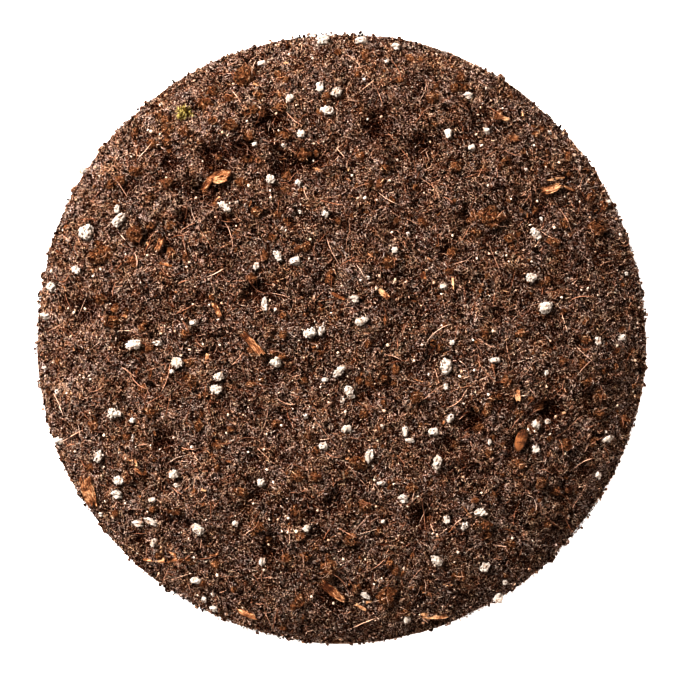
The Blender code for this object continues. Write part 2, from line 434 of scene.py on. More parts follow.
def toned(name, stops, warm, warm_share, roughness, speckle, bump=0.0):
    """A finish for thousands of grains: pale or dark across the tone map, and warmer up it."""
    recipe = Recipe(name, roughness, 0.03)
    at = recipe.add("ShaderNodeUVMap", {}, uv_map="OFBake").outputs[0]
    axes = recipe.add("ShaderNodeSeparateXYZ", {0: at})
    across, up = axes.outputs[0], recipe.times(axes.outputs[1], warm_share)
    colour = recipe.ramp(recipe.plus(across, speckle_of(recipe, speckle)), *stops)
    if bump:
        recipe.bump(recipe.noise(2300, 5, 0.8), bump)
    return recipe.colour(recipe.mix(up, colour, warm, "MULTIPLY"))


peat = peat_bed()
crumb_finish = toned("peat_crumb", PEAT_TONES, RUST, 0.9, 0.95, 5.0, 1.1 * MM)
fibre_finish = toned("peat_fibre", FIBRE_TONES, (1.0, 0.8, 0.64, 1.0), 0.6, 0.8, 1.0)


# %% Perlite, bark, wood, husk, roots and moss
def perlite_finish():
    """Off-white and chalky, with its pits painted dark brown as the shade in them, and a dusting of peat.
    """
    recipe = Recipe("perlite", 0.9)
    pits = recipe.cells(1300)
    chalk = (0.35, tint(146, 135, 124)), (0.6, tint(184, 176, 168))
    clean = recipe.ramp(recipe.noise(1100, 4, 0.7), *chalk)
    holes = recipe.ramp(pits, (0.22, WHITE), (0.42, BLACK))
    chosen = recipe.ramp(recipe.noise(500, 2), (0.47, BLACK), (0.52, WHITE))
    # The pits are painted dark brown: painted shade in the pits.
    shade = recipe.mix(1.0, holes, chosen, "MULTIPLY")
    shaded = recipe.mix(shade, clean, (*tint(70, 44, 26), 1.0))
    stain = recipe.ramp(recipe.noise(600, 5, 0.7), (0.54, BLACK), (0.68, (0.75,) * 3))
    dusty = recipe.mix(stain, shaded, (*tint(140, 102, 72), 1.0))
    recipe.bump(recipe.maths("MINIMUM", pits, 0.35), 0.35 * MM)
    return recipe.colour(dusty)


def bark_finish(name, dark, middle, light):
    recipe = Recipe(name, 0.9, 0.08)
    flakes = recipe.noise(1400, 6, 0.9)
    recipe.bump(recipe.noise(2100, 6, 0.85), 1.1 * MM)
    return recipe.colour(recipe.ramp(flakes, (0.4, dark), (0.5, middle), (0.6, light)))


def grain_finish(name, dark, middle, light, stained=0.45):
    """Wood split along the grain: noise drawn out along the piece's own grain map."""
    recipe = Recipe(name, 0.75)
    along = recipe.add("ShaderNodeUVMap", {}, uv_map="grain").outputs[0]
    drawn = recipe.add("ShaderNodeMapping", {"Vector": along, "Scale": (0.5, 4.0, 1.0)}).outputs[0]
    streaks = recipe.times(recipe.noise(1.0, 5, 0.8, drawn), 1 - stained)
    stains = recipe.times(recipe.noise(420, 5, 0.75), stained)
    recipe.bump(recipe.noise(1.6, 4, 0.6, drawn), 0.3 * MM)
    whole = recipe.times(recipe.less(recipe.noise(75, 1), 0.5), 0.35)
    tone = recipe.plus(recipe.plus(streaks, stains), whole)
    return recipe.colour(recipe.ramp(tone, (0.44, dark), (0.5, middle), (0.57, light)))


perlite = perlite_finish()
SPECK_TONES = [(0.0, tint(110, 78, 56)), (0.5, tint(176, 150, 132)), (1.0, tint(216, 206, 194))]
speck_finish = toned("perlite_dust", SPECK_TONES, (1.0, 0.92, 0.8, 1.0), 1.0, 0.9, 1.0)
bark = bark_finish("bark", tint(38, 16, 6), tint(106, 62, 34), tint(194, 146, 106))
MOSS_TONES = [(0.0, tint(34, 22, 6)), (0.5, tint(112, 92, 42)), (1.0, tint(228, 212, 156))]
moss = toned("moss", MOSS_TONES, (0.96, 1.0, 0.7, 1.0), 0.8, 0.9, 2.6)
wood = grain_finish("wood", tint(74, 38, 18), tint(150, 102, 66), tint(212, 178, 144))
husk = grain_finish("husk", tint(40, 18, 6), tint(86, 50, 26), tint(140, 96, 62), 0.8)
root_finish = grain_finish("root", tint(70, 42, 28), tint(132, 96, 74), tint(196, 162, 140))

# %% [markdown]
# ## The bed of peat
#
# The bed could be a fine grid cut to a circle, but its edge would be a staircase. A grid that is
# bent so that its square outline becomes a circle has even faces everywhere and a clean edge. It is
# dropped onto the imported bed, and four Displace modifiers in a row break it into clods, lumps and
# grit. Then the rim is pulled down to the ground and closed with one face.

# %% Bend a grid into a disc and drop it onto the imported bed
BED_CELLS = 280
RIM_INSET = 1.6 * MM
SKIN = 1.1 * MM  # the crumbs' layer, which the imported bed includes
THINNEST = 0.25 * MM

bed_radius = min(high[0], high[1], -low[0], -low[1]) - RIM_INSET
bpy.ops.mesh.primitive_grid_add(x_subdivisions=BED_CELLS, y_subdivisions=BED_CELLS, size=2)
bed = bpy.context.object
bed.name = "peat_bed"
flat = points_of(bed)
square = flat[:, :2].copy()
flat[:, 0] = square[:, 0] * np.sqrt(1 - square[:, 1] ** 2 / 2) * bed_radius
flat[:, 1] = square[:, 1] * np.sqrt(1 - square[:, 0] ** 2 / 2) * bed_radius
reach = np.hypot(flat[:, 0], flat[:, 1])
way = np.arctan2(flat[:, 1], flat[:, 0])
wander = sum(np.sin(n * way + 1.7 * n) / n**0.7 for n in (5, 9, 17, 31, 53, 83, 131)) * 0.9 * MM
flat[:, :2] *= (1 + wander / bed_radius * (reach / bed_radius) ** 8)[:, None]
packed = nodes["compost_bed"]
tree = BVHTree.FromPolygons(
    [v.co for v in packed.data.vertices], [p.vertices for p in packed.data.polygons]
)


def packed_height(x, y):
    found = tree.ray_cast(Vector((x, y, 1.0)), Vector((0, 0, -1)))[0]
    return found.z if found else 0.0


heights = np.array([packed_height(x, y) for x, y in flat[:, :2]])
flat[:, 2] = np.maximum(heights - SKIN, THINNEST)
move_points(bed, flat)
print("bed grid", len(flat), "vertices, radius", round(bed_radius / MM, 1))

# %% Break it into clods, lumps and grit
inner = bed.vertex_groups.new(name="inner")
reach = np.hypot(flat[:, 0], flat[:, 1])
for band in range(11):
    weight = band / 10
    inward = np.clip((bed_radius + 1 * MM - reach) / (4 * MM), 0, 1)
    chosen = np.flatnonzero(np.round(inward * 10) == band)
    inner.add(chosen.tolist(), weight, "REPLACE")
RELIEF = [
    (pattern("CLOUDS", 9.0 * MM, noise_depth=1, contrast=1.8), 1.0 * MM, 0.6),
    (pattern("VORONOI", 3.6 * MM), -0.6 * MM, 0.3),
    (pattern("CLOUDS", 1.6 * MM, noise_depth=3, contrast=1.5), 1.0 * MM, 0.55),
    (pattern("VORONOI", 1.2 * MM), -0.7 * MM, 0.4),
]
for texture, strength, middle in RELIEF:
    displace(bed, texture, strength, middle, "Z").vertex_group = "inner"
apply_all(bed)
bed.vertex_groups.clear()

# %% Press hollows into it: a few in known places, and many at random
# Each row: x, y, radius and depth in millimetres.
HOLLOWS = [
    (-36.5, 53, 4.5, 3.5), (-28, 55.5, 3.5, 3), (-39.5, 42.5, 3.2, 3.5), (-50, 51, 2.6, 3),
    (-16, 50, 4, 2.5), (-20, 62, 4.5, 2.5), (-62, 44, 3, 2.5), (-33, 33, 3, 2.5), (-45, 35, 3, 2.5),
    (10, 62, 4, 2.5), (-8, 52, 3.5, 2.5), (24, 56, 3.5, 2.5), (-75, 8, 3.5, 2.5), (-25, 14, 3.2, 2.5),
    (62, -22, 3.5, 2.5), (38, -24, 3.5, 2.5), (-52, -30, 3.5, 2.5), (-20, -62, 3.5, 2.5),
    (24, -52, 3.5, 2.5), (-2, -48, 3, 2),
]  # fmt: skip
SMALL_HOLLOWS = 170
far = bed_radius * 0.93 * np.sqrt(chance(SMALL_HOLLOWS))
way = chance(SMALL_HOLLOWS) * math.tau
wide = 1.2 + 1.8 * chance(SMALL_HOLLOWS)
deep = 0.4 + 0.9 * chance(SMALL_HOLLOWS)
scattered = columns([far * np.cos(way) / MM, far * np.sin(way) / MM, wide, deep])
hollows = np.vstack([HOLLOWS, scattered]) * MM
pressed = points_of(bed)
for x, y, radius, depth in hollows:
    apart = ((pressed[:, 0] - x) ** 2 + (pressed[:, 1] - y) ** 2) / radius**2
    pressed[:, 2] -= depth * np.exp(-(apart**1.5))
pressed[:, 2] = np.maximum(pressed[:, 2], THINNEST)
move_points(bed, pressed)
print("hollows", len(hollows))

# %% Bring the rim down and close the underside
only(bed)
to_mode("EDIT")
select_all("SELECT")
bpy.ops.mesh.normals_make_consistent(inside=False)
select_all("DESELECT")
bpy.ops.mesh.select_mode(type="EDGE")
bpy.ops.mesh.select_non_manifold()
bpy.ops.mesh.extrude_edges_move()
bpy.ops.transform.resize(value=(0.995, 0.995, 0.0), center_override=(0, 0, 0))
bpy.ops.mesh.edge_face_add()
bpy.ops.mesh.select_mode(type="VERT")
to_mode("OBJECT")
bed_points, bed_triangles = shape_of(bed)
bed_points[:, 2] = np.clip(bed_points[:, 2], 0, high[2] - 0.3 * MM)
move_points(bed, bed_points)
# How far each point stands above the unbroken bed, kept for painted shade: the finish darkens the hollows
# and pales what stands up.
stands = np.full(len(bed_points), 0.5)
stands[: len(flat)] = 0.5 + (bed_points[: len(flat), 2] - flat[:, 2] + 0.3 * MM) / (3 * MM)
relief_shade = bed.data.attributes.new("relief_shade", "FLOAT", "POINT")
relief_shade.data.foreach_set("value", np.clip(stands, 0, 1).astype(np.float32))
only(bed)
bpy.ops.object.shade_smooth_by_angle(angle=math.radians(60))
layers = []  # what later grains come to rest on, as points and triangles


def rest_on(*things):
    """Later grains lie on these pieces too. Returns the new ground to lie on."""
    layers.extend(shape_of(thing) for thing in things)
    points, triangles, start = [], [], 0
    for own_points, own_triangles in layers:
        points.append(own_points)
        triangles.append(own_triangles + start)
        start += len(own_points)
    return BVHTree.FromPolygons(np.concatenate(points).tolist(), np.concatenate(triangles).tolist())


ground = rest_on(bed)


def ground_at(places):
    """The height of the ground at each of these places, or 0 beyond its rim."""
    found = [ground.ray_cast(Vector((x, y, 1.0)), Vector((0, 0, -1)))[0] for x, y in places]
    return np.array([hit.z if hit else 0.0 for hit in found])


finish_piece(bed, peat, "peat", "compost_bed")
print("bed triangles", len(bed_triangles), "top", round(bed_points[:, 2].max() / MM, 2))

# %% [markdown]
# ## Perlite granules
#
# A perlite granule is a volcanic grain popped by heat, like a white popcorn with pits. The packed
# model has the biggest ones as rough lumps at their true places. A copy of each lump is subdivided
# until it is smooth, and then displaced twice: clouds give it knuckles, and cells give it pits.
# The smaller granules repeat six shapes, each turned and sized on its own.


# %% The big granules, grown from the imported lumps
CLEAR_SHARE = 0.46  # how far the crumbs stay off a granule, as a share of its width


def popped(thing):
    subdivide(thing)
    displace(thing, pattern("CLOUDS", 0.9 * MM, noise_depth=1), 1.0 * MM)
    displace(thing, pattern("VORONOI", 0.65 * MM, noise_intensity=1.0), -0.75 * MM, 0.45)
    displace(thing, pattern("CLOUDS", 0.35 * MM, noise_depth=2), 0.2 * MM, 0.4)
    return shade_smooth(apply_all(thing))


def named(start):
    """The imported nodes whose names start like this."""
    return sorted(name for name in nodes if name.startswith(start))


def spot(name, share):
    """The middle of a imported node, and this share of its lesser width, as a round spot."""
    (x0, y0, _), (x1, y1, _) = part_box(name)
    return (x0 + x1) / 2, (y0 + y1) / 2, min(x1 - x0, y1 - y0) * share


clear_spots = []  # x, y and radius of what the crumbs and fibres stay off
bark_spots = []  # and of what few of them lie on
for name in named("perlite"):
    finish_piece(popped(copy_of(name, name + "_grain")), perlite, "perlite", name)
    clear_spots.append(spot(name, CLEAR_SHARE))
print("big granules", len(named("perlite")))

# %% Six shapes for the smaller granules
# Each row: x, y, length and width in millimetres, and turn in degrees. A short row is round or unturned.
SMALL_PERLITE = [
    (-65.6, 38, 2.4, 1.7, 80), (-88, 6.6, 3, 2), (-77.1, 50.1, 2.3, 1.9), (-23.4, 81.4, 2.5, 1.8),
    (-6.2, 73.5, 3, 2.3, 90), (-14.9, 70.1, 2.4, 2.2, 90), (-11.7, 59.6, 2.4, 2.2), (-25.1, 56.6, 1.6),
    (-16.9, 56.3, 1.2), (-12.5, 45.3, 2.1, 1.8), (-30.3, 39.5, 1.2), (-4.6, 36.1, 2.6, 2), (-12, 36.8, 1.2),
    (-16.9, 31.9, 1.2), (-13.3, 22.5, 3, 2.6), (-24.6, 20.8, 2.4, 1.8, 90), (-22.1, 10, 3.8, 2, 90),
    (3.9, 11.5, 2.6, 2.4), (-5.6, 2.2, 2.9, 2, 90), (-42.9, 4.5, 2.1, 1.9), (-53.6, -1.4, 2.6, 1.6),
    (-5.5, 89, 4, 3), (37.5, 71.6, 2.6, 2.2), (31.4, 59.9, 2.8, 2.2, 90), (42.8, 60.8, 1.9),
    (38.2, 55.7, 2.1, 2), (6.9, 75.9, 1.2), (13.6, 81.8, 1.5), (16.2, 86.8, 2.6, 2.2),
    (6.1, 88.6, 3.5, 2.6), (58.6, 35, 1.2), (79.5, 40.5, 1.8), (84.8, 19.2, 1.3), (15.6, 25.7, 1.9),
    (19.5, 30.4, 1.2), (29.9, 15.1, 2.2, 1.8), (75.4, -0.9, 2.6, 2, 90), (82.9, 0.3, 2.6, 2),
    (7.9, 17.6, 1.2), (32.3, -1.2, 1.6), (62, 61.2, 1.2), (54.2, 49.4, 1.1), (-49.1, -9.7, 1.4),
    (-4.5, -12.1, 2, 1.4), (0.4, -18, 1.5), (-60.9, -24, 2, 1.8, 90), (-60.7, -29, 2.5, 1, 90),
    (-84, -30.4, 3.6, 2.2), (-66.1, -45.9, 3.2, 2.6), (-48.2, -42.9, 1.8, 1.3), (-55.2, -47.3, 2.2, 1.6),
    (-59.9, -54.5, 3.4, 2), (-56, -53.8, 4.2, 2, -20), (-30.8, -54, 2.2, 1.8), (-55.2, -60.3, 2.6, 1.8, 90),
    (-23, -65.5, 2.4, 2, 90), (-42.7, -71.5, 3.4, 2.2), (-37.8, -80.5, 2.8, 2), (-40.6, -77.5, 2),
    (-38, -76, 1.3), (-5.1, -31.3, 2.6, 2.4), (-10.2, -22.6, 1.5), (1.6, -26.3, 3.8, 2.2, 30),
    (-10, -55.3, 2.6, 2.2, 90), (-84.2, -15.8, 1.5), (-88.2, -8.9, 1.4), (-71.7, -52.5, 1.3),
    (30.5, -14.1, 2, 1.4, 90), (31.8, -23.3, 2.6, 2.2, 90), (44.9, -6.4, 3.1, 1.8),
    (59.9, -10.2, 1.8, 1.3, 90), (56.8, -25.1, 2.8, 2.7), (60.6, -24.4, 1.7), (56.9, -32.4, 2.4, 2.2, 90),
    (18.7, -27, 3, 1.8, 90), (20, -29.7, 2.8, 1.4), (26.9, -27.2, 3, 2.4), (8.3, -34.4, 4, 2.6, 90),
    (11.7, -42.2, 3, 1.4, 10), (18, -46.7, 2.8, 2.6), (36, -54.8, 2.6, 2.2, 90), (30.8, -52.9, 2.6, 2, 90),
    (12.3, -53.4, 1.3), (7.1, -75.3, 3.6, 1.8, 155), (19.7, -83.3, 2.4, 2, 90), (48.6, -72.3, 1.6),
    (46.8, -77.4, 3.2, 2.8, 70), (79, -29.8, 3.4, 1.8, 35), (76.2, -40.6, 2.2), (43.3, -30.3, 2, 1.1, 90),
    (12, -25.6, 1.2),
]  # fmt: skip


def ball(radius, subdivisions):
    bpy.ops.mesh.primitive_ico_sphere_add(subdivisions=subdivisions, radius=radius)
    return bpy.context.object


def lumpy_shapes(count, subdivisions, size, relief, scale, pits=0.0):
    """Several rough lumps of about unit width, as arrays."""
    shapes = []
    for number in range(count):
        lump = ball(0.5, subdivisions)
        lump.location = (7.0 * number, 3.0 * subdivisions, 0)
        bpy.ops.object.transform_apply(location=True)
        displace(lump, pattern("CLOUDS", scale, noise_depth=2), relief, 0.5)
        if pits:
            displace(lump, pattern("VORONOI", scale * 0.8), pits, 0.4)
        apply_all(lump)
        points, triangles = shape_of(lump)
        points -= (points.max(0) + points.min(0)) / 2
        points *= size / (points.max(0) - points.min(0))
        shapes.append((points, triangles.copy()))
        bpy.data.objects.remove(lump)
    return shapes


def laid(rows, flatness, sunk):
    """Places, sizes and turns for grains given one by one."""
    table = np.array([(*row, row[2])[:4] + (*row[4:], 0)[:1] for row in rows], float)
    places = table[:, :2] * MM
    sizes = columns([table[:, 2], table[:, 3], table[:, 3] * flatness]) * 1.08 * MM
    lift = ground_at(places) + sizes[:, 2] * (0.5 - sunk)
    for (x, y), size in zip(places, sizes):
        clear_spots.append((x, y, size[1] * CLEAR_SHARE))
    return columns([places, lift]), sizes, flat_turns(np.radians(table[:, 4]))


popcorn = lumpy_shapes(6, 3, 1.05, 0.8, 0.45, -0.35)
places, sizes, turns = laid(SMALL_PERLITE, 0.85, 0.1)
small = copies("perlite_small", popcorn, places, sizes, turns)
finish_piece(shade_smooth(small), perlite, "perlite")
print("small granules", len(places), "triangles", len(small.data.polygons))


# %% White specks, scattered at random
def hollow_at(places):
    """How deep the pressed hollows are at each of these places."""
    depths = np.zeros(len(places))
    for x, y, radius, depth in hollows:
        apart = ((places[:, 0] - x) ** 2 + (places[:, 1] - y) ** 2) / radius**2
        depths += depth * np.exp(-(apart**1.5))
    return depths


def anywhere(count, edge=2.0 * MM):
    """Places spread evenly over the bed, up to its rim."""
    far = (bed_radius - edge) * np.sqrt(chance(count))
    way = chance(count) * math.tau
    return columns([far * np.cos(way), far * np.sin(way)])


def off_the_grains(places, margin=0.0, spots=clear_spots):
    """Which of these places are clear of the granules and splinters, or of other given spots."""
    free = np.ones(len(places), bool)
    for x, y, radius in spots:
        free &= np.hypot(places[:, 0] - x, places[:, 1] - y) > radius + margin
    return free


specks = lumpy_shapes(6, 1, 1.0, 1.2, 0.5)
places = anywhere(1600)
places = places[off_the_grains(places)]
width = (0.32 + 0.78 * chance(len(places)) ** 3.0) * MM
sizes = width[:, None] * (0.7 + 0.6 * chance((len(places), 3)))
points = columns([places, ground_at(places) + 0.35 * width])
across = np.clip(0.25 + 0.75 * chance(len(places)) ** 0.7, 0.03, 0.97)
tones = columns([across, 0.05 + 0.9 * chance(len(places)) ** 1.5])
speck = copies("perlite_specks", specks, points, sizes, random_turns(len(places)), tones)
finish_piece(speck, speck_finish, "perlite")
print("specks", len(places))

# %% [markdown]
# ## Bark
#
# Bark nuggets are flatter than perlite and rougher, and damp peat clings to them. Faces with hard
# edges suit them better than smooth ones, so they are displaced by sharper noise and left unsmoothed.

# %% Bark nuggets
bark_pieces = []
for name in named("bark"):
    nugget = copy_of(name, name + "_nugget")
    subdivide(nugget)
    displace(nugget, pattern("STUCCI", 1.6 * MM), 0.9 * MM)
    displace(nugget, pattern("CLOUDS", 0.45 * MM, noise_depth=2), 1.1 * MM)
    bark_pieces.append(finish_piece(apply_all(nugget), bark, "bark", name))
    bark_spots.append(spot(name, 0.5))

SMALL_BARK = [
    (-60.4, 48.9, 4, 3.2), (-37.8, 72.8, 3), (-39.8, 69.1, 5.4, 3.6), (-32.3, 62.3, 4.4, 3.4),
    (-26.4, 52.2, 4.5, 3), (-55.2, 57.1, 4, 3), (-55.5, 41.1, 3.5, 2.5), (-24.4, 36.8, 3.5, 3),
    (-18.5, 35.9, 2.4), (-70.2, 11.3, 4, 3), (33.6, 49.8, 3.5, 2.8), (36.5, 74.1, 4, 2.5),
    (27, 70.8, 4, 3.5, 90), (44, 35.2, 8, 6), (32.3, 25.2, 4.2, 3, 90), (31.3, 19.5, 3, 2),
    (52.5, 37.2, 2.4, 1.5, 90), (49.3, 40.1, 1.8, 1.4), (14, 22.1, 5, 4), (75.4, 32.6, 5), (42.1, 0.9, 3),
    (-28.7, -44.7, 4.2, 2.6), (-48.3, -50.9, 5, 2), (-3.5, -66.6, 7, 4.5, 90), (-12, -77.1, 3.6, 3.2, 90),
    (-41.4, -25.4, 3.6, 2.6, 90), (-55.5, -21.5, 4.6, 3), (-72.8, -25.4, 5, 3, 90), (-7.4, -40.1, 3.4, 2.8),
    (-35.9, -31.3, 3.6, 2.2), (-44.7, -65.6, 4.5, 2.6), (43, -33.6, 2.4), (52.1, -36.8, 4.4, 2.8),
    (63.3, -45, 3.6, 2.6), (44, -17.6, 2.4, 1.8), (43, -20.2, 2.6, 1.8), (39.1, -54.4, 2.6, 2.2, 90),
    (42.6, -54.6, 3.5, 3), (20.8, -43.6, 3.5, 3), (84.3, -24.7, 4, 3.6), (44.7, -45.7, 3.4, 1.5),
    (-46, 60.6, 3.9, 2.7, 90), (-26.5, 59.1, 3.3, 2.7), (-23.5, 51.7, 2.6, 2), (-25.3, 66.8, 2.6, 2.4),
    (-15.8, 59.4, 3.5, 3), (-11, 53.5, 5, 3.5), (-15.8, 47.2, 4, 3, 90), (-50.8, 61.2, 4, 3.5, 90),
    (-51.7, 64.4, 3, 2.4), (-37.4, 63.6, 2.6), (-18.1, 77.5, 3.2, 2.4), (-17.3, 67.4, 3.5, 3),
    (-32.4, 70.7, 3.2, 2.6), (-24.1, 71.3, 3.5, 2.4), (-28.8, 45.2, 4.4, 3), (-67.4, 45.2, 3.5, 3),
    (-49.6, 32.9, 3, 2.6), (-15.1, 34, 3.5, 2.5), (-22.2, 24, 3.4, 2.4, 90), (-25.9, 17.4, 3),
    (-7.2, -32.7, 3, 2.4), (5.2, -36.2, 5, 4.2), (-12.4, -40.2, 4, 3), (-10.1, -63.6, 3.5, 2.5),
    (6.8, -48.8, 4.5, 3.6), (3.1, -58.6, 4, 3.5), (-13.2, -50.3, 3), (39, 30.6, 4, 3), (49.1, 29, 3, 2.6),
    (62.6, 28, 3.4, 2.5), (65.7, 33.7, 3.5, 3), (71.6, -0.3, 3.5, 3), (52.3, 1.5, 2.8, 2.4),
    (48.2, -12.5, 3.6, 3, 90), (51.7, -22, 3, 2.6), (66, -31.2, 4, 3.4), (76.4, -17.2, 4, 3),
    (75.8, -22.3, 3.6, 3), (71.9, -12.8, 4, 2.6), (64.5, -6.5, 2.2, 1.8, 90),
]  # fmt: skip
nuggets = lumpy_shapes(6, 3, 1.1, 0.95, 0.3)
clear_of_perlite = list(clear_spots)
places, sizes, turns = laid(SMALL_BARK, 0.6, 0.1)
clear_spots[:] = clear_of_perlite
bark_spots += [(x, y, size[1] * 0.5) for (x, y, _), size in zip(places, sizes)]
small_bark = copies("bark_small", nuggets, places, sizes, turns)
finish_piece(small_bark, bark, "bark")
print("small nuggets", len(places))

places = anywhere(300)
places = places[off_the_grains(places, 0.8 * MM)]
width = (1.6 + 2.6 * chance(len(places)) ** 1.8) * MM
bark_spots += [(x, y, 0.4 * wide) for (x, y), wide in zip(places, width)]
sizes = width[:, None] * np.array([1.0, 0.75, 0.55])
points = columns([places, ground_at(places) + 0.05 * width])
turns = flat_turns(chance(len(places)) * math.tau)
thin_shapes = lumpy_shapes(5, 2, 1.0, 0.8, 0.4)
flakes = copies("bark_flakes", thin_shapes, points, sizes, turns)
finish_piece(flakes, bark, "bark")
ground = rest_on(small_bark, flakes, *bark_pieces)

# %% [markdown]
# ## Wood chips, roots, husk and moss
#
# A splinter breaks along its grain, so its sides are straight and ridged and its ends are torn. It
# starts as a cube cut into strips along its length. Each strip gets its own height and its own
# length, which makes the ridges and the torn ends at once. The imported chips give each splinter's
# place: the long axis of a packed chip's points is the splinter's own.


# %% The long pieces get a grain map: millimetres along the piece, and across it
def grain_map(thing):
    points = points_of(thing)
    middle = points.mean(0)
    axes = np.linalg.eigh(np.cov((points - middle).T))[1][:, ::-1]
    return new_map(thing, "grain", (points - middle) @ axes / MM + 7.0 * len(points) ** 0.5)


def splinter(name, middle, axes, size, strips=6, bands=9):
    """A torn splinter along the first of these axes."""
    bpy.ops.mesh.primitive_cube_add(size=1)
    piece = only(bpy.context.object)
    piece.name = name
    to_mode("EDIT")
    for axis, cuts in ((0, bands), (1, strips)):
        select_all("DESELECT")
        to_mode("OBJECT")
        for edge in piece.data.edges:
            a, b = (piece.data.vertices[v].co for v in edge.vertices)
            edge.select = abs(a[axis] - b[axis]) > 0.5
        to_mode("EDIT")
        bpy.ops.mesh.select_mode(type="EDGE")
        bpy.ops.mesh.subdivide(number_cuts=cuts, quadcorner="STRAIGHT_CUT")
    bpy.ops.mesh.select_mode(type="VERT")
    to_mode("OBJECT")
    points = points_of(piece)
    strip = np.round((points[:, 1] + 0.5) * (strips + 1)).astype(int)
    top = points[:, 2] > 0
    taper = 1 - np.where(points[:, 0] > 0, *(0.1 + 0.5 * chance(2))) * np.abs(2 * points[:, 0]) ** 3
    points[:, 1] *= taper
    reach = 1 - 0.45 * chance((2, strips + 2)) ** 2
    points[:, 0] *= np.where(points[:, 0] > 0, reach[0][strip], reach[1][strip])
    points[:, 2] += top * random.normal(0, 0.12, strips + 2)[strip] + random.normal(0, 0.09, len(points))
    bend = random.normal(0, 0.1) * np.sin(points[:, 0] * 3 + 1)
    points[:, 1] += bend + random.normal(0, 0.02, len(points))
    points = (points * size) @ axes.T + middle
    points[:, 2] = np.clip(points[:, 2], 0.02 * MM, top_limit)
    move_points(piece, points)
    return grain_map(piece)


def own_axes(points):
    """The middle, axes and full size of a set of points, longest first, with the last one upwards."""
    middle = (points.max(0) + points.min(0)) / 2
    axes = np.linalg.eigh(np.cov((points - middle).T))[1][:, ::-1]
    axes[:, 2] = np.cross(axes[:, 0], axes[:, 1])
    if axes[2, 2] < 0:
        axes[:, 1:] *= -1
    along = (points - middle) @ axes
    return middle, axes, along.max(0) - along.min(0)


def joined(name, things):
    """Several objects made one."""
    only(things[0])
    for thing in things:
        thing.select_set(True)
    bpy.ops.object.join()
    things[0].name = name
    return things[0]


def laid_splinter(x0, y0, x1, y1, width, height=None, strips=4, bands=6):
    """A splinter from one place to another, in millimetres, lying on the ground or at this height."""
    ends = np.array([(x0, y0), (x1, y1)]) * MM
    heights = ground_at(ends) + 0.15 * MM if height is None else [height, height]
    first, last = columns([ends, heights])
    span = last - first
    length = np.linalg.norm(span)
    side = np.cross([0, 0, 1.0], span / length)
    side /= np.linalg.norm(side)
    axes = columns([span / length, side, np.cross(span / length, side)])
    size = np.array([length, width * MM, min(0.8 * width, 1.0) * MM])
    return splinter("splinter", (first + last) / 2, axes, size, strips, bands)


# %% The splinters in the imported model's places
# One chip is bent: these are its parts, as the two ends' x and y and the width in millimetres.
BENT_CHIP = [
    (-40.4, 42.8, -37.8, 47.2, 1.8), (-39, 46.4, -31.6, 48.6, 1.9), (-37.4, 45.6, -33, 45.9, 1.7),
    (-34.6, 46.4, -32, 47.6, 1.4),
]  # fmt: skip
for name in named("wood_chip"):
    middle, axes, size = own_axes(points_of(nodes[name]))
    chip = splinter(name + "_split", middle, axes, size)
    if name == "wood_chip_03":
        bpy.data.objects.remove(chip)
        chip = joined(name + "_split", [laid_splinter(*row, middle[2]) for row in BENT_CHIP])
    finish_piece(chip, wood, "wood", name)
    for share in np.linspace(-0.4, 0.4, 7):
        x, y, _ = middle + axes[:, 0] * size[0] * share
        clear_spots.append((x, y, size[1] * 0.45))

# %% Smaller splinters: some in known places, and many at random
# Each row: the two ends' x and y, and the width, in millimetres.
SMALL_CHIPS = [
    (-7.1, 10.8, -4.5, 8.4, 0.9), (-2.8, 13, 1.7, 11.1, 1.2), (24.1, 17.2, 24.1, 19.5, 1.8),
    (32.5, 18.2, 32.8, 14.1, 0.8), (46.3, 65.3, 49.6, 64.6, 1.3), (49.4, 58.8, 52.4, 58.8, 2),
    (-58.7, -65.6, -48, -65, 2.3), (-31, -80.3, -24.4, -83, 1.8), (51.6, -18.4, 51.6, -14.8, 1.8),
    (23.2, -82, 32.2, -82.6, 2.6), (11.1, -59.9, 14.3, -59.9, 0.9), (31, -56.8, 34.6, -53.5, 0.6),
    (-39.1, -7.7, -39.1, -3.9, 1), (65.4, 44.8, 69.5, 43.4, 0.8), (-53, 22, -49, 21, 0.9),
    (60.5, 46.3, 66.5, 47.4, 0.7), (-60.5, -38, -57, -40.5, 1), (4, -78, 7.5, -80, 1.1),
]  # fmt: skip
LOOSE_CHIPS = 130
starts, ends = anywhere(LOOSE_CHIPS) / MM, random.normal(0, 1, (LOOSE_CHIPS, 2))
ends *= (1.2 + 2.4 * chance(LOOSE_CHIPS) ** 2)[:, None] / np.linalg.norm(ends, axis=1)[:, None]
loose = columns([starts, starts + ends, 0.35 + 0.6 * chance(LOOSE_CHIPS) ** 2])
loose = loose[off_the_grains(starts * MM, 1.5 * MM)]
pieces = [laid_splinter(*row, strips=3, bands=4) for row in np.vstack([SMALL_CHIPS, loose])]
small_chips = joined("wood_small", pieces)
finish_piece(small_chips, wood, "wood")
for x0, y0, x1, y1, width in np.array(SMALL_CHIPS) * MM:
    for share in (0.15, 0.5, 0.85):
        clear_spots.append((x0 + (x1 - x0) * share, y0 + (y1 - y0) * share, width * 0.4))
print("small splinters", len(pieces), "triangles", len(small_chips.data.polygons))

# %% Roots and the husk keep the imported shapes, refined
shell = copy_of("seed_husk", "seed_husk_shell")
subdivide(shell)
displace(shell, pattern("CLOUDS", 0.8 * MM, noise_depth=2), 0.6 * MM, 0.6)
finish_piece(grain_map(shade_smooth(apply_all(shell))), husk, "husk", "seed_husk")
(x0, y0, _), (x1, y1, _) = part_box("seed_husk")
for share in (0.25, 0.5, 0.75):
    clear_spots.append(((x0 + x1) / 2, y0 + (y1 - y0) * share, 1.5 * MM))

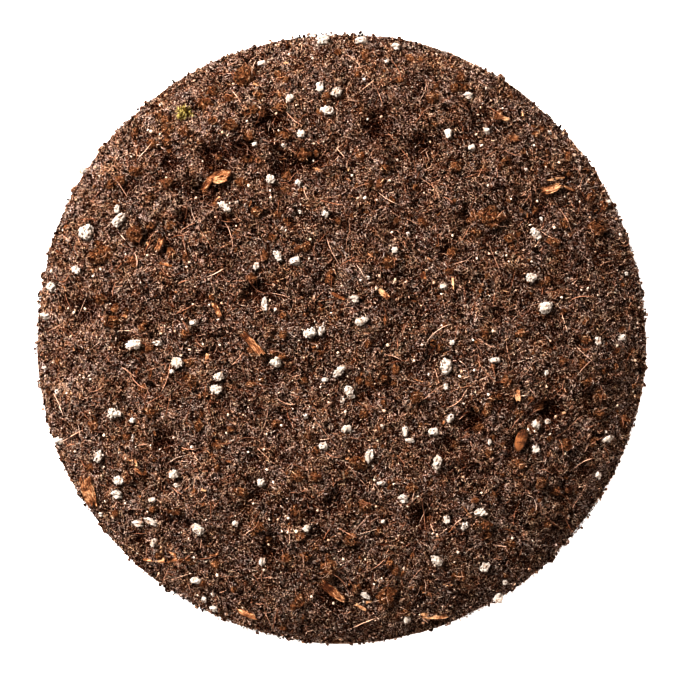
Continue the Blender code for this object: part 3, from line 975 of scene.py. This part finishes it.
for name in named("root"):
    strand = copy_of(name, name + "_strand")
    to_mode("EDIT")
    select_all("SELECT")
    bpy.ops.mesh.subdivide(number_cuts=1)
    to_mode("OBJECT")
    displace(strand, pattern("CLOUDS", 0.7 * MM, noise_depth=2), 0.3 * MM, 0.95)
    finish_piece(grain_map(shade_smooth(apply_all(strand))), root_finish, "root", name)

# %% [markdown]
# ## Crumbs, grit and slivers
#
# Seen close, peat is less a heap of crumbs than a mat of short broken strands, with soft clods under
# it. So a few hundred clods and some thousand crumbs go down first, and tens of thousands of grit
# and slivers go on top. A sliver is only a stretched tetrahedron. It has just four faces, and its
# sharp edges catch the light as a strand's do. Each kind comes to rest on the ones before it.


# %% Tools to scatter them with
def patches(places):
    """Broad paler and darker patches, where the mix is drier or damper."""
    rows = [Vector((x, y, 0)) / (14 * MM) for x, y in places]
    return np.array([0.09 * noise.noise(row) + 0.07 * noise.noise(row * 2.3) for row in rows])


def rusty(places):
    """Smaller patches of rusty brown among the cooler ones, from 0 to 1."""
    rows = [Vector((x, y, 9 * MM)) / (5 * MM) for x, y in places]
    return np.clip([0.48 + 1.3 * noise.noise(row) for row in rows], 0, 1)


def lying_turns(count, tilt):
    """Rotation matrices that lay a long grain nearly flat, whichever way it points."""
    way, rise = chance(count) * math.tau, random.normal(0, tilt, count)
    ahead = columns([np.cos(way) * np.cos(rise), np.sin(way) * np.cos(rise), np.sin(rise)])
    side = np.cross(ahead, random.normal(size=(count, 3)))
    side /= np.linalg.norm(side, axis=1)[:, None]
    return np.stack([ahead, side, np.cross(ahead, side)], axis=2)


def slivers(count):
    """Tetrahedra with an edge at each end."""
    corners = np.array([(-0.5, 0, -0.5), (-0.5, 0, 0.5), (0.5, -0.5, 0), (0.5, 0.5, 0)])
    faces = np.array([(0, 1, 2), (0, 3, 1), (0, 2, 3), (1, 3, 2)])
    if np.linalg.det(corners[1:] - corners[0]) > 0:
        faces = faces[:, ::-1]
    return [(corners + random.normal(0, 0.11, (4, 3)), faces) for _ in range(count)]


def scatter(name, shapes, count, smallest, largest, power, tone, spread, lift, stretch=0, sink=0.0):
    """Grains of this kind all over the bed. A stretch makes them long and lays them flat."""
    places = anywhere(count, -0.3 * MM)
    width = (smallest + (largest - smallest) * chance(count) ** power) * MM
    on_bark = ~off_the_grains(places, 0.0, bark_spots)
    deep = np.clip(hollow_at(places) / (2.5 * MM), 0, 1)
    free = off_the_grains(places, 0.1 * MM) & (chance(count) > 0.6 * on_bark)
    free &= chance(count) > 0.55 * deep
    places, width, on_bark, deep = places[free], width[free], on_bark[free], deep[free]
    count = len(places)
    sizes = width[:, None] * (0.6 + 0.8 * chance((count, 3)))
    turns = lying_turns(count, 0.3) if stretch else random_turns(count)
    if stretch:
        sizes[:, 0] *= 1.5 + stretch * chance(count) ** 1.5
    points = columns([places, ground_at(places) + lift * width - sink * MM])
    # Grains lying in the pressed hollows get a darker tone: painted shade.
    across = random.normal(tone, spread, count) + patches(places) - 0.4 * deep
    up = np.where(on_bark, 0.9, 0.04 + 0.52 * rusty(places) + 0.4 * chance(count))
    tones = columns([np.clip(across, 0.03, 0.97), up])
    piece = copies(name, shapes, points, sizes, turns, tones)
    finish_piece(piece, crumb_finish, "peat")
    print(name, count, "triangles", len(piece.data.polygons))
    return piece


# %% Scatter the clods and crumbs, and then the grit and slivers
clods = lumpy_shapes(6, 2, 1.0, 1.1, 0.35)
crumbs = lumpy_shapes(8, 1, 1.0, 1.1, 0.5)
ground = rest_on(scatter("peat_clods", clods, 600, 1.5, 3.6, 2.0, 0.40, 0.04, -0.15, sink=0.3))
ground = rest_on(scatter("peat_crumbs", crumbs, 3400, 0.6, 1.6, 1.6, 0.39, 0.09, 0.0))
scatter("peat_grit", slivers(12), 36000, 0.26, 0.56, 1.6, 0.38, 0.36, 0.2)
scatter("peat_slivers", slivers(12), 48000, 0.15, 0.32, 1.2, 0.40, 0.36, 0.7, 3.6)
scatter("peat_dust", slivers(12), 40000, 0.14, 0.30, 1.2, 0.40, 0.38, 1.0, 2.6)
# Near-black slivers scattered to stand for the shade in the gaps between grains: painted shade.
scatter("peat_gaps", slivers(12), 9000, 0.34, 0.62, 1.2, 0.0, 0.04, 1.1, 1.6)
scatter("peat_flecks", slivers(12), 15500, 0.18, 0.36, 1.2, 0.94, 0.14, 1.5, 3.4)

# %% Crumbs that fell at the rim
def fallen(count):
    """Places just inside and just outside the rim."""
    far = bed_radius + (chance(count) * 3.6 - 2.8) * MM
    way = chance(count) * math.tau
    return columns([far * np.cos(way), far * np.sin(way)])


FALLEN = 1400
places = fallen(FALLEN)
width = (0.4 + 0.8 * chance(FALLEN) ** 2) * MM
sizes = width[:, None] * (0.6 + 0.8 * chance((FALLEN, 3)))
points = columns([places, ground_at(places) + 0.35 * width])
across = np.clip(random.normal(0.42, 0.2, FALLEN), 0.03, 0.97)
tones = columns([across, 0.1 + 0.7 * chance(FALLEN)])
rim = copies("peat_rim", crumbs, points, sizes, random_turns(FALLEN), tones)
finish_piece(rim, crumb_finish, "peat")

# %% [markdown]
# ## Fibres
#
# Peat is matted with fine fibres. Each is a thin tube with three sides along a path that wanders
# over the crumbs and lifts a little in its middle. A curve object for each would be slow, so the
# paths are worked out together, and one ring of three points is set round each of their points.


# %% Tubes along many paths at once
def tubes(name, paths, radii, tones):
    """Three-sided tubes along these paths, thinner at their ends."""
    count, steps = paths.shape[:2]
    along = np.gradient(paths, axis=1)
    along /= np.linalg.norm(along, axis=2)[:, :, None] + 1e-12
    side = np.cross(along, [0, 0, 1.0])
    side /= np.linalg.norm(side, axis=2)[:, :, None] + 1e-12
    over = np.cross(side, along)
    slim = 1 - 0.55 * np.abs(np.linspace(-1, 1, steps)) ** 3
    rings = []
    for corner in range(3):
        angle = math.tau * corner / 3 + math.pi / 2
        out = math.cos(angle) * side + math.sin(angle) * over
        rings.append(paths + out * radii[:, None, None] * slim[None, :, None])
    points = np.stack(rings, axis=2).reshape(-1, 3)
    triangles = []
    for step in range(steps - 1):
        for corner in range(3):
            a, b = 3 * step + corner, 3 * step + (corner + 1) % 3
            triangles += [(a, b, b + 3), (a, b + 3, a + 3)]
    last = 3 * (steps - 1)
    triangles += [(0, 2, 1), (last, last + 1, last + 2)]
    each = np.array(triangles)[None] + (3 * steps * np.arange(count))[:, None, None]
    share = np.linspace(-0.5, 0.5, steps)[:, None, None] * np.array([1.0, 0.2])
    wide = np.array([-0.5, 0.0, 0.5])[None, :, None] * np.array([0.0, 1.0])
    tile = (TONE_TILE * (share + wide)).reshape(-1, 2)
    uv = (tile[None] + tones[:, None, :]).reshape(-1, 2)
    return shade_smooth(mesh_from(name, points, each.reshape(-1, 3), uv))


def drape(flat, lift):
    """Lay paths on the ground: they bridge its hollows, and arch by this much in the middle."""
    count, steps = flat.shape[:2]
    height = ground_at(flat.reshape(-1, 2)).reshape(count, steps)
    bridged = height.copy()
    bridged[:, 1:-1] = np.maximum(height[:, 1:-1], (height[:, :-2] + height[:, 2:]) / 2)
    arch = np.sin(np.linspace(0, math.pi, steps))[None] * lift[:, None]
    return np.concatenate([flat, (bridged + arch + 0.08 * MM)[:, :, None]], axis=2)


def wandering(starts, lengths, bend, steps):
    """Flat paths that wander from these places."""
    count = len(starts)
    heading = chance(count) * math.tau
    curl = random.normal(0, bend, count)
    flat = np.empty((count, steps, 2))
    at = starts.copy()
    for step in range(steps):
        flat[:, step] = at
        heading = heading + curl + random.normal(0, bend * 0.6, count)
        at = at + columns([np.cos(heading), np.sin(heading)]) * (lengths / (steps - 1))[:, None]
    return flat


def lay_fibres(name, count, length, thickness, tone, spread, bend, steps, lift, slot="peat"):
    """Fibres of this kind all over the bed. Lengths, thicknesses and lift are in millimetres."""
    lengths = (length[0] + (length[1] - length[0]) * chance(count) ** 2) * MM
    flat = wandering(anywhere(count), lengths, bend, steps)
    radii = (thickness[0] + (thickness[1] - thickness[0]) * chance(count) ** 2) * MM / 2
    across = np.clip(random.normal(tone, spread, count) + patches(flat[:, 0]), 0.04, 0.96)
    tones = columns([across, chance(count) * 0.9 + 0.04])
    ends = flat.reshape(-1, 2)
    inside = (np.hypot(ends[:, 0], ends[:, 1]) < bed_radius + 0.6 * MM).reshape(count, -1).all(1)
    good = inside & off_the_grains(ends, -0.1 * MM).reshape(count, -1).all(1)
    paths = drape(flat[good], chance(int(good.sum())) ** 2 * lift * MM)
    piece = tubes(name, paths, radii[good], tones[good])
    finish_piece(piece, fibre_finish, slot)
    print(name, int(good.sum()), "fibres,", len(piece.data.polygons), "triangles")


# %% Lay the fibres, the fine ones last
lay_fibres("peat_fibres", 520, (3.0, 9.0), (0.20, 0.36), 0.62, 0.16, 0.10, 6, 0.6)
lay_fibres("peat_strands", 1500, (2.0, 6.0), (0.14, 0.26), 0.48, 0.18, 0.14, 5, 0.5)
lay_fibres("peat_hairs", 2800, (1.2, 4.5), (0.10, 0.18), 0.72, 0.2, 0.22, 4, 0.6)

# %% The longer roots, some in known places
# Each path is a list of places in millimetres.
FINE_ROOTS = [
    [(-59.2, 57.8), (-60, 55), (-60.4, 51.9)], [(-55.5, 30.8), (-56.2, 27.4), (-58, 24.4)],
    [(-62.3, 24.7), (-64, 22), (-65.9, 19.8)], [(-50, 29), (-47.2, 30), (-44.7, 29.3)],
    [(-47, 5.8), (-45.2, 4), (-44, 1.2)], [(-85, 19), (-82.4, 16.6), (-80, 19.5)],
    [(-36.8, 35.9), (-34.4, 34.2), (-31.6, 34.1)], [(14.6, 82.3), (16.8, 79.6), (17.6, 76.4)],
    [(18.4, 43.4), (19.4, 42), (20.8, 41.4)], [(29.7, 41.1), (31.4, 40.4), (32.7, 38.8)],
    [(18.3, 29.7), (18.6, 27.4), (20, 25.7)], [(66.3, 10.4), (70, 12.2), (74.4, 11.7)],
    [(83.3, 27.7), (85.2, 27.6), (86.2, 29.3)], [(-4.7, -32.6), (-2.4, -34.4), (0.1, -34.6)],
    [(-49.9, -7.4), (-50.4, -11.4), (-52.5, -15.9)], [(-61.7, -10), (-59.4, -13.2), (-55.9, -15.1)],
    [(-48.3, -30.8), (-44.6, -32.4), (-40.8, -31.9)], [(-18.2, -17.6), (-15.4, -19.2), (-13, -18.9)],
    [(30.6, -20.2), (34.2, -18.5), (36.2, -15.3)], [(33.7, -25.2), (35, -23.2), (36.8, -22.3)],
    [(68.9, -38.3), (72.2, -36), (75.8, -35.5)], [(12.7, -4.8), (15.8, -5.4), (18.5, -7.1)],
    [(-10.7, 44.7), (-10.4, 42), (-8.7, 39.5)], [(-60.3, 25.1), (-59.4, 22.6), (-59.7, 20.2)],
]  # fmt: skip
ROOT_POINTS = 7
stations = np.linspace(0, 2, ROOT_POINTS)
curves = []
for path in FINE_ROOTS:
    a, b, c = np.array(path) * MM
    t = (stations / 2)[:, None]
    through = 2 * b - (a + c) / 2  # the middle pull of a curve that passes through b
    curves.append((1 - t) ** 2 * a + 2 * t * (1 - t) * through + t**2 * c)
curves = np.array(curves)
each = np.ones(len(curves))
tones = columns([np.linspace(0.45, 0.85, len(curves)), 0.4 * each])
strands = tubes("fine_roots", drape(curves, 0.4 * MM * each), 0.2 * MM * each, tones)
finish_piece(strands, fibre_finish, "root")
lay_fibres("root_hairs", 70, (5.0, 12.0), (0.24, 0.42), 0.6, 0.18, 0.10, 7, 0.6, slot="root")

# %% The moss: a knobbly cushion with small curved leaves all over it
LEAVES = 240
tuft = copy_of("moss_tuft", "moss_cushion")
subdivide(tuft)
displace(tuft, pattern("CLOUDS", 1.4 * MM, noise_depth=2), 2.4 * MM, 0.6)
apply_all(tuft)
points = points_of(tuft)
outward = np.array([tuple(vertex.normal) for vertex in tuft.data.vertices])
upper = np.flatnonzero(outward[:, 2] > -0.2)
chosen = random.choice(upper, LEAVES)
roots_at, lean = points[chosen], outward[chosen] + random.normal(0, 0.5, (LEAVES, 3))
lean /= np.linalg.norm(lean, axis=1)[:, None]
reach = (0.25 + 0.45 * chance(LEAVES))[:, None] * MM
tips = roots_at + lean * reach * 1.7 - [0, 0, 0.15 * MM]
leaf_paths = np.stack([roots_at, roots_at + lean * reach, tips], axis=1)
across = np.clip(random.normal(0.6, 0.25, LEAVES), 0.04, 0.96)
leaf_tones = columns([across, chance(LEAVES) * 0.9])
leaves = tubes("leaves", leaf_paths, np.full(LEAVES, 0.11 * MM), leaf_tones)
new_map(tuft, "OFBake", 0.12 + TONE_TILE * (points - points.mean(0)) / MM)
moss_piece = joined("moss_tuft_leaves", [tuft, leaves])
finish_piece(moss_piece, moss, "moss", "moss_tuft")

# %% [markdown]
# ## Light and floor
#
# Compost is dull and dark, so it needs a strong light from one side to show its grain, and a weak
# light from everywhere to keep its hollows from going black. The key light hangs at the upper left.
# The floor ends in a low round wall, and both glow faintly, so that a low view has a pale background.

# %% Floor, lights and sky
bpy.ops.mesh.primitive_circle_add(vertices=64, radius=3.0, fill_type="NGON", location=(0, 0, -0.1 * MM))
floor = bpy.context.object
floor.name = "floor"
bpy.ops.mesh.primitive_cylinder_add(
    vertices=64, radius=3.0, depth=1.2, end_fill_type="NOTHING", location=(0, 0, 0.5)
)
wall = bpy.context.object
wall.name = "wall"
pale = Recipe("floor", 0.9)
pale.shader.inputs["Base Color"].default_value = (0.94, 0.94, 0.94, 1)
pale.shader.inputs["Emission Color"].default_value = (1.0, 0.99, 0.98, 1)
pale.shader.inputs["Emission Strength"].default_value = 0.8
for backdrop in (floor, wall):
    backdrop.data.materials.append(pale.material)


def area_light(name, place, size, power, colour=(1.0, 1.0, 1.0)):
    bpy.ops.object.light_add(type="AREA", location=place)
    light = bpy.context.object
    light.name = name
    light.data.size = size
    light.data.energy = power
    light.data.color = colour
    light.rotation_euler = (Vector(place) * -1).to_track_quat("-Z", "Y").to_euler()
    return light


area_light("key", (-0.38, 0.38, 0.66), 0.3, 21.0)
area_light("fill", (0.5, -0.3, 0.9), 0.9, 2.0, (1.0, 0.8, 0.64))
sky = bpy.context.scene.world or bpy.data.worlds.new("sky")
bpy.context.scene.world = sky
sky.use_nodes = True
sky.node_tree.nodes["Background"].inputs["Color"].default_value = (1.0, 0.66, 0.42, 1)
sky.node_tree.nodes["Background"].inputs["Strength"].default_value = 0.09
bpy.context.scene.view_settings.view_transform = "Standard"
bpy.context.scene.view_settings.gamma = 0.69
bpy.context.scene.view_settings.exposure = 0.27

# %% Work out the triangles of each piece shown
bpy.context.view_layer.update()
for thing in bpy.data.objects:
    if thing.type == "MESH" and not thing.hide_render:
        thing.data.calc_loop_triangles()
